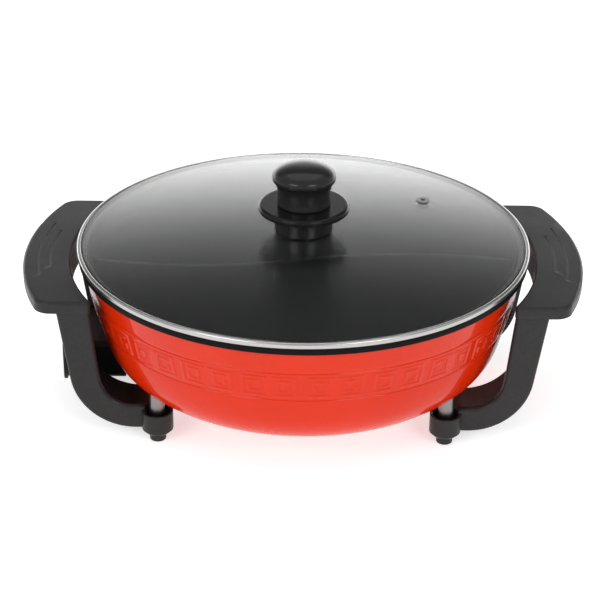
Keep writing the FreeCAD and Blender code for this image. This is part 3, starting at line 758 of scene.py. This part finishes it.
# --- the divider ------------------------------------------------------------------------
def make_divider():
    """An upright S of two arcs with a rounded top edge, its ends against the pan's wall."""
    half_chord, bow, half_thick, top = RIM_R / 2.0, 10.5, 1.5, 94.0
    foot, middle = FLOOR_Z + WALL - 0.2, 50.0
    into_wall, count = 0.3, 160
    radius = (half_chord ** 2 + bow ** 2) / (2.0 * bow)

    def centre_line(x):
        side = 1.0 if x >= 0.0 else -1.0
        cx, cy = side * half_chord, side * (bow - radius)
        y = cy + side * math.sqrt(radius ** 2 - (x - cx) ** 2)
        slope = -(x - cx) / (y - cy)
        normal = Vector((-slope, 1.0)).normalized()
        return Vector((x, y)), normal

    shoulder = top - half_thick
    section = [(-half_thick, foot), (-half_thick, middle), (-half_thick, shoulder - 0.1)]
    section += arc(0.0, shoulder, half_thick, 180.0, 0.0, 12)
    section += [(half_thick, shoulder - 0.1), (half_thick, middle), (half_thick, foot)]
    work = bmesh.new()
    rows = []
    for offset, z in section:
        reach = wall_r(z, -WALL) + into_wall
        line = []
        for k in range(count + 1):
            x = reach * (2.0 * k / count - 1.0)
            point, normal = centre_line(x)
            at = point + normal * offset
            if at.length > reach:
                at *= reach / at.length
            line.append(work.verts.new((at.x * MM, at.y * MM, z * MM)))
        rows.append(line)
    for a, b in zip(rows, rows[1:]):
        for k in range(count):
            work.faces.new((a[k], a[k + 1], b[k + 1], b[k]))
    for k in range(count):
        work.faces.new((rows[0][k + 1], rows[0][k], rows[-1][k], rows[-1][k + 1]))
    work.faces.new([row[0] for row in rows])
    work.faces.new([row[-1] for row in rows][::-1])
    bmesh.ops.recalc_face_normals(work, faces=work.faces)
    mesh = bpy.data.meshes.new("divider_wall")
    work.to_mesh(mesh)
    work.free()
    mesh.materials.append(DIVIDER)
    piece = bpy.data.objects.new("divider_wall", mesh)
    scene.collection.objects.link(piece)
    return give(settle(piece, 50.0), "base", "divider", "pan_divider")


make_divider()


# --- the lid ----------------------------------------------------------------------------
GLASS_R, GLASS_LOW, GLASS_THICK, GLASS_RISE = 149.6, 107.9, 3.0, 6.5
CROWN_Z = GLASS_LOW + GLASS_RISE + GLASS_THICK
LID_R, LIP_R, LIP_LOW = 152.5, 145.6, 103.7
BEAD_Z, BEAD_WIDE, SHEET = RIM_Z + 3.8, 2.8, 0.6    # the band's bead, and its sheet
VENT_REACH, VENT_TURN = 100.7, math.radians(33.5)
VENT_X, VENT_Y = VENT_REACH * math.cos(VENT_TURN), VENT_REACH * math.sin(VENT_TURN)
VENT_BORE, VENT_NECK, VENT_FLANGE, VENT_SHEET = 1.6, 3.0, 4.9, 0.8


def dome_z(reach, low):
    """Height of a spherical cap over the glass's circle, with its edge at low."""
    sphere = (GLASS_R ** 2 + GLASS_RISE ** 2) / (2.0 * GLASS_RISE)
    return low + GLASS_RISE - sphere + math.sqrt(sphere ** 2 - reach ** 2)


def glass_top(reach):
    return dome_z(reach, GLASS_LOW + GLASS_THICK)


def make_glass():
    """A domed disc with a centre hole for the knob's screw and a hole for the vent."""
    hole, rings = 3.0, 30
    reaches = [hole + (GLASS_R - hole) * k / rings for k in range(rings + 1)]
    under = [(r, dome_z(r, GLASS_LOW)) for r in reaches]
    top = [(r, glass_top(r)) for r in reversed(reaches)]
    edge = rounded([under[-2], under[-1] + (0.8,), top[0] + (0.8,), top[1]], 4, 0.12)
    outline = under[:-1] + edge[1:-1] + top[1:]
    outline.append(outline[0])
    glass = lathe("lid_dome", outline, GLASS, 240)
    drill, below, above = VENT_NECK + 0.1, 100.0, 125.0
    cutter = lathe("vent_cutter", [(0.0, below), (drill, below), (drill, above), (0.0, above)],
                   GLASS, 32, (VENT_X, VENT_Y))
    carve(glass, [cutter])
    glass.data.shade_smooth()
    glass.data.set_sharp_from_angle(angle=math.radians(50.0))
    return give(glass, "lid", "glass", "lid_glass")


make_glass()

LIP_IN = LIP_R - SHEET
rim_outline = rounded([
    (LIP_IN, LIP_LOW + 0.3), (LIP_R - 0.3, LIP_LOW, 0.25), (LIP_R, LIP_LOW + 0.3, 0.25),
    (LIP_R, RIM_Z, 0.5), (LID_R, RIM_Z, 0.9), (LID_R, BEAD_Z, 1.7),
    (LID_R - BEAD_WIDE, BEAD_Z, 0.7), (LID_R - BEAD_WIDE, RIM_Z + SHEET, 0.1),
    (LIP_IN, RIM_Z + SHEET, 0.5), (LIP_IN, LIP_LOW + 0.3)], 6, 0.08)
rim = lathe("lid_band", rim_outline, RIM_STEEL, 360)
give(rim, "lid", "rim_steel", "lid_rim")

vent_high = glass_top(VENT_REACH - VENT_FLANGE)
vent_low = glass_top(VENT_REACH + VENT_FLANGE) - GLASS_THICK
vent_foot = vent_low - VENT_SHEET
vent_head = vent_high + VENT_SHEET
vent = lathe("vent_eyelet", rounded([
    (VENT_BORE, vent_foot), (VENT_FLANGE, vent_foot, 0.35), (VENT_FLANGE, vent_low, 0.3),
    (VENT_NECK, vent_low, 0.1), (VENT_NECK, vent_high, 0.1), (VENT_FLANGE, vent_high, 0.2),
    (VENT_FLANGE, vent_head, 0.5), (VENT_BORE, vent_head, 0.5), (VENT_BORE, vent_foot)],
    5, 0.05), GROMMET, 64, (VENT_X, VENT_Y))
give(vent, "lid", "rim_steel", "vent_grommet")


# --- the knob ---------------------------------------------------------------------------
BOLT_R, COLLAR_R, GUARD_R = 2.5, 19.7, 30.6
GUARD_LOW = CROWN_Z + 14.0
GRIP_LOW = GUARD_LOW + 4.6
BOLT_TOP = CROWN_Z + 31.0

collar = lathe("knob_base", rounded([
    (BOLT_R, CROWN_Z), (COLLAR_R, CROWN_Z, 1.3), (COLLAR_R, GUARD_LOW, 0.6), (BOLT_R, GUARD_LOW),
    (BOLT_R, CROWN_Z)], 8, 0.3), COLLAR_RESIN, 96)
give(collar, "lid", "knob_plastic", "knob_collar")

guard = lathe("knob_skirt", rounded([
    (BOLT_R, GUARD_LOW), (GUARD_R, GUARD_LOW, 1.3), (GUARD_R, GRIP_LOW, 2.6),
    (19.5, GRIP_LOW, 0.8), (BOLT_R, GRIP_LOW), (BOLT_R, GUARD_LOW)], 9, 0.3), GUARD_RESIN, 128)
give(guard, "lid", "knob_plastic", "knob_guard")


def grip_outline():
    """Foot, waisted neck, turned-in underside and full crown of the knob's grip."""
    neck = [(17.9, 0.8), (17.7, 2.6), (17.55, 5.0), (17.65, 8.0), (18.0, 11.0), (18.6, 13.4),
            (19.4, 15.4), (20.1, 16.4), (20.9, 17.3), (21.3, 18.4)]
    line = [(r, GRIP_LOW + up) for r, up in neck]
    wide, base, height, fullness, steps = 21.4, GRIP_LOW + 19.6, 8.4, 2.3, 24
    crown = []
    for k in range(steps):
        reach = wide * math.cos(math.radians(90.0) * k / steps) ** 0.9
        crown.append((reach, base + height * math.sqrt(1.0 - (reach / wide) ** fullness)))
    crown.append((0.0, base + height))
    return [(BOLT_R, GRIP_LOW), (17.6, GRIP_LOW)] + eased(line + crown[:1], 4) + crown[1:]


grip = lathe("knob_handle", grip_outline(), GRIP_RESIN, 96)
give(grip, "lid", "knob_plastic", "knob_grip")

WASHER_R = 9.0
washer_top = glass_top(WASHER_R) - GLASS_THICK
washer_low = washer_top - 1.5
washer = lathe("knob_seal", rounded([
    (BOLT_R, washer_low), (WASHER_R, washer_low, 0.5), (WASHER_R, washer_top, 0.3),
    (BOLT_R, washer_top), (BOLT_R, washer_low)], 4, 0.1), WASHER, 64)
give(washer, "lid", "knob_plastic", "knob_washer")


def cross_screw(name, head_r, head_h, shank_r, shank_length, dome_h, material):
    """A pan-head screw pointing up (+Z), its head below, with a cross recess in the head."""
    pitch, root = 0.8, shank_r - 0.35
    outline = rounded([(0.0, -head_h), (head_r, -head_h, dome_h), (head_r, 0.0, 0.15),
                       (shank_r, 0.0)], 7, 0.05)
    for k in range(int(shank_length / pitch)):
        z = pitch / 2.0 + k * pitch
        outline += [(root, z), (shank_r, z + 0.3), (shank_r, z + 0.42)]
    outline += [(shank_r - 0.5, shank_length - 0.4), (0.0, shank_length)]
    screw = lathe(name, outline, material, 48)
    reach, half, deep = head_r * 0.55, head_r * 0.11, head_h * 0.55     # the cross
    proud, taper = 0.3, -0.2            # it starts past the head, and narrows upwards
    low = -head_h - proud
    high = low + proud + deep
    cuts = [wedge(reach, half, low, high, taper), wedge(half, reach, low, high, taper)]
    carve(screw, cuts)
    screw.data.shade_smooth()
    screw.data.set_sharp_from_angle(angle=math.radians(40.0))
    return screw


knob_screw = cross_screw("knob_bolt", 5.0, 3.2, BOLT_R, BOLT_TOP - washer_low, 1.5, SCREW_STEEL)
knob_screw = at_places("knob_bolt_set", knob_screw, [(0.0, 0.0, washer_low)], SCREW_STEEL)
give(knob_screw, "lid", "fastener_steel", "knob_screw")


# --- posts, feet and leg screws ---------------------------------------------------------
POST_X, POST_Y = 95.0, 80.0
FOOT_R, FOOT_NECK_R, CUP_TOP_Z = 5.4, 3.7, 7.9
CORNERS = {
    "front_left": (-POST_X, -POST_Y), "rear_left": (-POST_X, POST_Y),
    "front_right": (POST_X, -POST_Y), "rear_right": (POST_X, POST_Y),
}

for where, place in CORNERS.items():
    foot = lathe("foot_pad_" + where, rounded([
        (0.0, 0.0), (FOOT_R, 0.0, 0.9), (FOOT_R, 5.0, 0.2), (FOOT_NECK_R, 5.0, 0.2),
        (FOOT_NECK_R, 3.6, 0.1), (0.0, 3.6)], 6, 0.1), FOOT_RUBBER, 64, place)
    give(foot, "base", "foot_rubber", "foot_" + where)

screw = cross_screw("leg_bolt", 3.3, 2.6, 2.0, 14.0, 1.0, SCREW_STEEL)
leg_bolts = at_places("leg_bolt_set", screw, [(x, y, CUP_TOP_Z) for x, y in CORNERS.values()],
                      SCREW_STEEL)
give(leg_bolts, "base", "fastener_steel", "leg_screws")

for where in CORNERS:
    post = from_node("post_rod_" + where, "post_" + where, POST_STEEL)
    give(post, "base", "post_steel", "post_" + where)


# --- the heater -------------------------------------------------------------------------
def make_element():
    """The bent tube: a ring with two tails that rise to the terminals."""
    ring_r, tube_r, ring_z, tail_y, bend = 70.0, 3.25, 15.5, 12.0, 12.0
    bend_y = tail_y + bend
    bend_x = -math.sqrt((ring_r + bend) ** 2 - bend_y ** 2)
    ring_end = math.atan2(bend_y, bend_x)
    half = []
    ring_steps, bend_steps, rise_steps = 60, 12, 8
    for k in range(ring_steps + 1):
        a = ring_end * k / ring_steps
        half.append((ring_r * math.cos(a), ring_r * math.sin(a), ring_z))
    bend_start = ring_end - math.pi
    for k in range(1, bend_steps + 1):
        a = bend_start + (-math.pi / 2.0 - bend_start) * k / bend_steps
        half.append((bend_x + bend * math.cos(a), bend_y + bend * math.sin(a), ring_z))
    rise_x, rise_r, slope = -(FLOOR_R + 10.0), 10.0, math.radians(40.0)
    end_x, end_z = -134.0, 28.0
    half.append((rise_x, tail_y, ring_z))
    for k in range(1, rise_steps + 1):
        a = slope * k / rise_steps
        half.append((rise_x - rise_r * math.sin(a), tail_y, ring_z + rise_r * (1.0 - math.cos(a))))
    lift = rise_r * (1.0 - math.cos(slope))
    run = (end_z - ring_z - 2.0 * lift) / math.tan(slope)
    far = half[-1][0] - run
    for k in range(rise_steps, -1, -1):
        a = slope * k / rise_steps
        half.append((far - rise_r * (math.sin(slope) - math.sin(a)), tail_y,
                     end_z - rise_r * (1.0 - math.cos(a))))
    half.append((end_x, tail_y, end_z))
    path = [(x, -y, z) for x, y, z in reversed(half)] + half[1:]
    mesh = bpy.data.meshes.new("element_path")
    mesh.from_pydata([(x * MM, y * MM, z * MM) for x, y, z in path],
                     [(i, i + 1) for i in range(len(path) - 1)], [])
    geo = Geo("element_tube", mesh)
    curve = geo.node("GeometryNodeMeshToCurve", inputs={"Mesh": geo.start})
    ring = geo.node("GeometryNodeCurvePrimitiveCircle", inputs={
        "Resolution": 24, "Radius": tube_r * MM})
    tube = geo.node("GeometryNodeCurveToMesh", inputs={
        "Curve": curve, "Profile Curve": ring, "Fill Caps": True})
    node = geo.tree.nodes.new("GeometryNodeSetMaterial")
    geo.tree.links.new(tube.socket, node.inputs["Geometry"])
    node.inputs["Material"].default_value = ELEMENT
    made = geo.finish(Val(geo.tree, node.outputs[0]))
    made.data.set_sharp_from_angle(angle=math.radians(50.0))
    return give(made, "base", "element_steel", "heating_element")


make_element()

STUD_CIRCLE, STUD_R, STUD_HIGH, STUD_Z, NUT_Z = 80.0, 2.5, 9.0, 12.0, 13.5
STUDS = [(STUD_CIRCLE * math.cos(a), STUD_CIRCLE * math.sin(a))
         for a in (0.0, math.tau / 3.0, 2.0 * math.tau / 3.0)]


def threaded_stud():
    """A stud with a chamfered end below and a plain end that is welded to the pan."""
    outline = [(0.0, 0.0), (STUD_R - 0.5, 0.0), (STUD_R, 0.5)]
    pitch, root = 0.8, STUD_R - 0.35
    z = pitch
    while z < 6.5:
        outline += [(STUD_R, z), (root, z + 0.3), (root, z + 0.4), (STUD_R, z + 0.7)]
        z += pitch
    outline += [(STUD_R, STUD_HIGH), (0.0, STUD_HIGH)]
    stud = lathe("stud", outline, SCREW_STEEL, 40)
    stud.data.set_sharp_from_angle(angle=math.radians(35.0))
    return stud


def hexagon_nut():
    """A nut with both faces chamfered to a circle and a plain bore."""
    half_across, high, bore, chamfer, count = 4.0, 4.0, STUD_R, 0.45, 48
    face_r = half_across * 0.985
    work = bmesh.new()
    rings = []
    for z, on_face in ((0.0, True), (chamfer, False), (high - chamfer, False), (high, True)):
        ring = []
        for k in range(count):
            a = math.tau * k / count
            off_flat = a % (math.pi / 3.0) - math.pi / 6.0
            reach = face_r if on_face else half_across / math.cos(off_flat)
            ring.append(work.verts.new((reach * math.cos(a) * MM, reach * math.sin(a) * MM, z * MM)))
        rings.append(ring)
    inner = [[work.verts.new((bore * math.cos(math.tau * k / count) * MM,
                              bore * math.sin(math.tau * k / count) * MM, z * MM))
              for k in range(count)] for z in (0.0, high)]
    for k in range(count):
        j = (k + 1) % count
        for a, b in zip(rings, rings[1:]):
            work.faces.new((a[k], a[j], b[j], b[k]))
        work.faces.new((rings[0][j], rings[0][k], inner[0][k], inner[0][j]))
        work.faces.new((rings[-1][k], rings[-1][j], inner[1][j], inner[1][k]))
        work.faces.new((inner[0][k], inner[1][k], inner[1][j], inner[0][j]))
    bmesh.ops.recalc_face_normals(work, faces=work.faces)
    mesh = bpy.data.meshes.new("nut")
    work.to_mesh(mesh)
    work.free()
    mesh.materials.append(NUT_STEEL)
    nut = bpy.data.objects.new("nut", mesh)
    scene.collection.objects.link(nut)
    mesh.shade_smooth()
    mesh.set_sharp_from_angle(angle=math.radians(25.0))
    return nut


studs = at_places("plate_stud_set", threaded_stud(), [(x, y, STUD_Z) for x, y in STUDS], SCREW_STEEL)
give(studs, "base", "fastener_steel", "spreader_studs")
nuts = at_places("plate_nut_set", hexagon_nut(), [(x, y, NUT_Z) for x, y in STUDS], NUT_STEEL)
give(nuts, "base", "fastener_steel", "spreader_nuts")


# --- pieces that keep the CAD outline, welded and smoothed ------------------------------
# Name of the piece, its CAD node, its material and its slot.
CARRIED = (
    ("grip_frame_right", "right_handle_frame", HANDLE_RESIN, "handle_plastic"),
    ("grip_frame_left", "left_handle_frame", HANDLE_RESIN, "handle_plastic"),
    ("inlet_housing", "socket_shroud", SOCKET_RESIN, "socket_plastic"),
    ("inlet_bracket", "socket_bracket", BRACKET_STEEL, "fastener_steel"),
    ("inlet_screws", "shroud_screws", SCREW_STEEL, "fastener_steel"),
    ("inlet_pin_front", "terminal_pin_front", PIN_METAL, "contact_brass"),
    ("inlet_pin_rear", "terminal_pin_rear", PIN_METAL, "contact_brass"),
    ("inlet_earth", "earth_contact", EARTH_METAL, "contact_brass"),
    ("inlet_beads", "pin_insulators", BEAD, "bead_ceramic"),
    ("probe_tube", "probe_sleeve", SLEEVE, "spreader_aluminium"),
    ("heat_plate", "heat_spreader", SPREADER, "spreader_aluminium"),
)
for name, node, material, slot in CARRIED:
    give(from_node(name, node, material), "base", slot, node)


# --- floor, lights and camera -----------------------------------------------------------
def studio_sheet(name, material, corners):
    mesh = bpy.data.meshes.new(name)
    mesh.from_pydata(corners, [], [(0, 1, 2, 3)])
    mesh.materials.append(material)
    sheet = bpy.data.objects.new(name, mesh)
    scene.collection.objects.link(sheet)


def floor_look():
    look = Look("studio_floor", roughness=0.9)
    look.set("Base Color", look.noise(3.0).ramp(0.2, 0.8).mix(grey(0.86), grey(0.88)))
    look.set("Emission Color", grey(1.0))
    look.set("Emission Strength", 0.55)
    return look.material


# How brightly the wall behind the pot glows, as (height in metres, share of its full glow).
WALL_GLOW = (
    (0.50, 1.0), (0.54, 0.88), (0.63, 0.64), (0.71, 0.51), (0.79, 0.38), (0.87, 0.25),
    (0.94, 0.16), (1.02, 0.110), (1.09, 0.075), (1.17, 0.050), (1.25, 0.025), (1.32, 0.012),
    (1.40, 0.004), (1.50, 0.0),
)


def backdrop_look(strength):
    """A glowing wall: bright at its foot, dark towards its top."""
    look = Look("studio_wall", roughness=1.0)
    ramp_top_m = 2.0
    ramp = look.tree.nodes.new("ShaderNodeValToRGB")
    put(look.tree, ramp.inputs[0], look.axis(2) / ramp_top_m)
    points = ramp.color_ramp.elements
    while len(points) < len(WALL_GLOW):
        points.new(0.5)
    for point, (height, share) in zip(points, WALL_GLOW):
        point.position = height / ramp_top_m
        point.color = grey(share)
    look.set("Base Color", grey(0.0))
    look.set("Emission Color", Val(look.tree, ramp.outputs[0]))
    look.set("Emission Strength", strength)
    return look.material


FLOOR_M, WALL_SIDE_M, WALL_BACK_M, WALL_FOOT_M, WALL_TOP_M = 6.0, 2.6, 1.9, 0.02, 2.6
studio_sheet("floor", floor_look(), [
    (-FLOOR_M, -FLOOR_M, 0.0), (FLOOR_M, -FLOOR_M, 0.0),
    (FLOOR_M, FLOOR_M, 0.0), (-FLOOR_M, FLOOR_M, 0.0)])
studio_sheet("back_wall", backdrop_look(3.0), [
    (-WALL_SIDE_M, WALL_BACK_M, WALL_FOOT_M), (WALL_SIDE_M, WALL_BACK_M, WALL_FOOT_M),
    (WALL_SIDE_M, WALL_BACK_M, WALL_TOP_M), (-WALL_SIDE_M, WALL_BACK_M, WALL_TOP_M)])


def soft_box(name, place, aim, width, height, power):
    """A rectangular lamp at a place in metres, turned to its aim."""
    light = bpy.data.lights.new(name, "AREA")
    light.shape = "RECTANGLE"
    light.size = width
    light.size_y = height
    light.energy = power
    holder = bpy.data.objects.new(name, light)
    holder.location = place
    holder.rotation_mode = "QUATERNION"
    holder.rotation_quaternion = (Vector(aim) - Vector(place)).to_track_quat("-Z", "Y")
    scene.collection.objects.link(holder)


POT_MIDDLE_M = (0.0, 0.0, 0.08)
soft_box("left_box", (-1.35, -1.7, 1.35), POT_MIDDLE_M, 1.2, 0.7, 15.0)
soft_box("right_box", (1.15, -1.85, 1.35), POT_MIDDLE_M, 1.0, 0.7, 12.5)
soft_box("top_box", (0.0, 0.75, 2.3), (0.0, 0.0, 0.0), 2.2, 1.5, 8.0)

world = bpy.data.worlds.new("studio")
scene.world = world
world.use_nodes = True
shade = next(n for n in world.node_tree.nodes if n.type == "BACKGROUND")
shade.inputs["Color"].default_value = grey(1.0)
shade.inputs["Strength"].default_value = 0.62
scene.view_settings.view_transform = "Standard"
scene.view_settings.look = "None"


def place_camera():
    """In front of the pot and a little above it, turned and rolled by a hair."""
    rise, turn, roll = math.radians(26.95), math.radians(0.1), math.radians(0.7)
    aim, distance_m = Vector((-0.00176, 0.0, 0.0633)), 1.2
    ahead = Vector((math.sin(turn) * math.cos(rise), math.cos(turn) * math.cos(rise), -math.sin(rise)))
    right = Vector((math.cos(turn), -math.sin(turn), 0.0))
    up = right.cross(ahead)
    rolled_right = right * math.cos(roll) + up * math.sin(roll)
    rolled_up = up * math.cos(roll) - right * math.sin(roll)
    data = bpy.data.cameras.new("camera")
    data.sensor_width = 36.0
    data.lens = 104.47
    data.clip_start = 0.01
    data.clip_end = 50.0
    camera = bpy.data.objects.new("camera", data)
    axes = Matrix((rolled_right, rolled_up, -ahead)).transposed().to_4x4()
    camera.matrix_world = Matrix.Translation(aim - ahead * distance_m) @ axes
    scene.collection.objects.link(camera)
    scene.camera = camera


place_camera()
